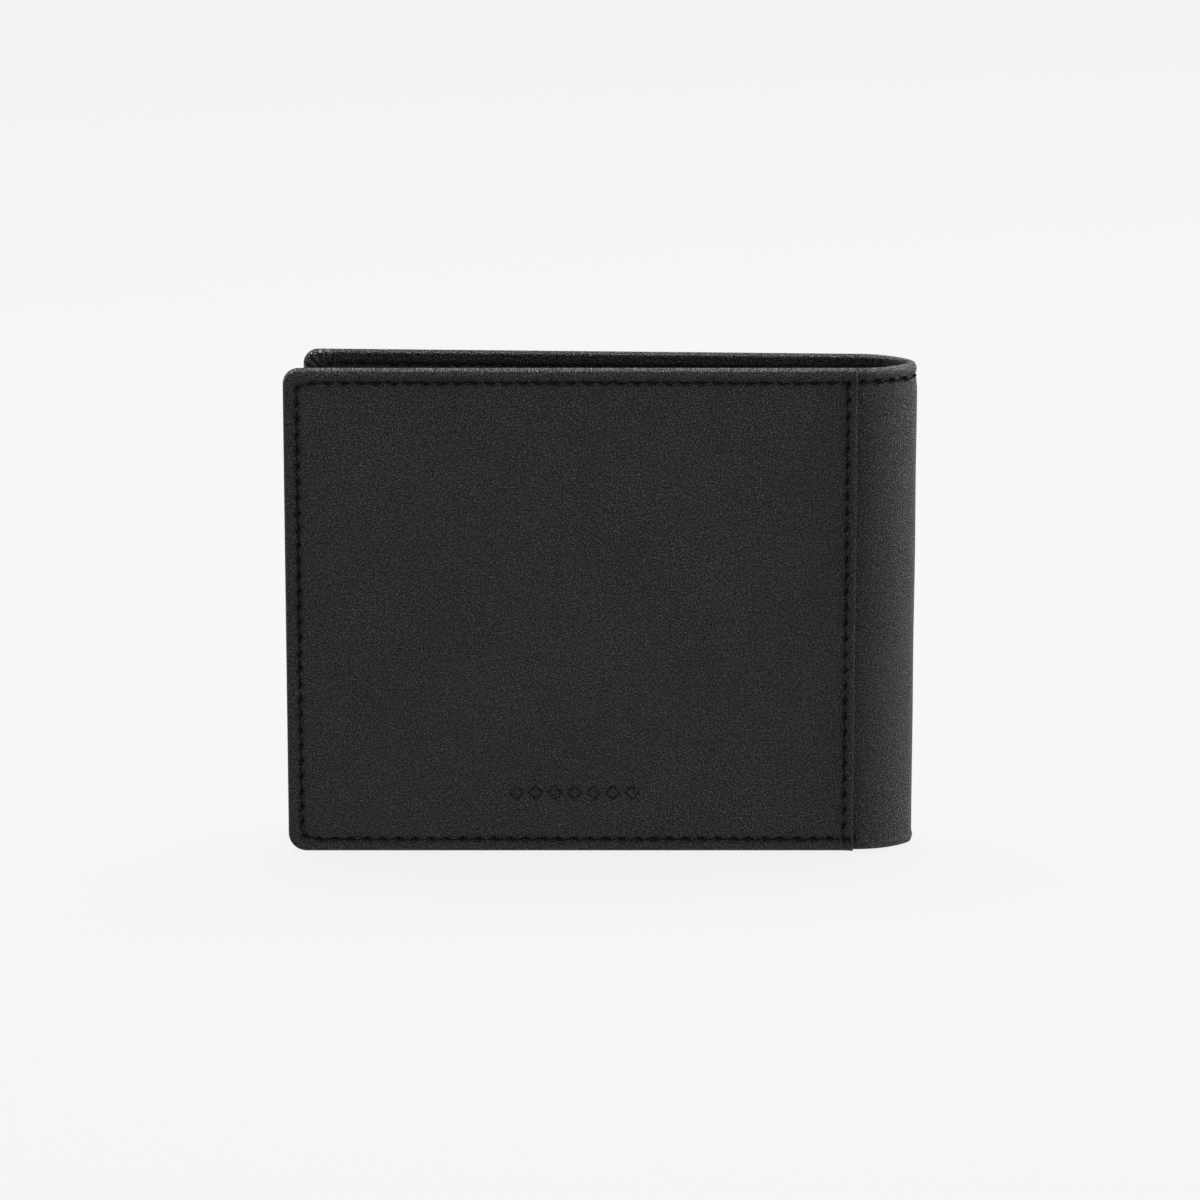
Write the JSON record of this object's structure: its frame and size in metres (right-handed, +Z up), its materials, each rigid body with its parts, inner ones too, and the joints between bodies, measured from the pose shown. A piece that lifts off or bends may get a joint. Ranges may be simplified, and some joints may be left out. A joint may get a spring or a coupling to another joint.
{
  "type": "bifold wallet",
  "caption": "Slim black leather bifold wallet standing on its long edge, with card slots and a banknote compartment inside a spine that bends open.",
  "frame": {"origin": "centre of the bounding box on the plane that the long bottom edge stands on", "axes": "+X along the width, from the free edges to the fold; +Y from the front half to the rear half; +Z up, towards the mouth of the banknote compartment"},
  "size_m": [0.12, 0.0188, 0.095],
  "materials": {
    "outer_leather": "satin",
    "inner_leather": "satin",
    "lining": "matte",
    "board": "matte",
    "thread": "matte"
  },
  "bodies": {
    "rear_half": {"rear_cover": "outer_leather", "rear_board": "board", "rear_lining": "lining", "rear_inner_wall": "lining", "rear_top_band": "inner_leather", "rear_card_base": "inner_leather", "rear_card_slot_1": "inner_leather", "rear_card_slot_2": "inner_leather", "rear_card_slot_3": "inner_leather", "rear_card_slot_4": "inner_leather", "rear_seam_thread": "thread", "rear_inner_thread": "thread"},
    "spine_2": {"spine_leather_2": "outer_leather", "spine_lining_2": "lining", "spine_thread_2": "thread"},
    "spine_1": {"spine_leather_1": "outer_leather", "spine_lining_1": "lining", "spine_thread_1": "thread"},
    "front_half": {"front_pocket_panel": "outer_leather", "front_cover": "outer_leather", "front_board": "board", "front_lining": "lining", "front_inner_wall": "lining", "front_top_band": "inner_leather", "front_card_base": "inner_leather", "front_card_slot_1": "inner_leather", "front_card_slot_2": "inner_leather", "front_card_slot_3": "inner_leather", "front_card_slot_4": "inner_leather", "front_seam_thread": "thread", "front_inner_thread": "thread"}
  },
  "joints": [
    {"name": "fold_opening", "type": "hinge", "parent": "rear_half", "child": "spine_2", "pos_m": [0.05486, 0.00378, 0.0475], "axis": [0, 0, 1], "range_deg": [-0.9, 44.8]},
    {"name": "fold_bend_2", "type": "hinge", "parent": "spine_2", "child": "spine_1", "pos_m": [0.06035, -0.00216, 0.0475], "axis": [0, 0, 1], "range_deg": [-1.75, 87.12]},
    {"name": "fold_bend_1", "type": "hinge", "parent": "spine_1", "child": "front_half", "pos_m": [0.0546, -0.00785, 0.0475], "axis": [0, 0, 1], "range_deg": [-0.9, 44.8]}
  ],
  "couplings": [
    {"joint": "fold_bend_2", "follows": "fold_opening", "ratio": 1.9444},
    {"joint": "fold_bend_1", "follows": "fold_opening", "ratio": 1}
  ]
}
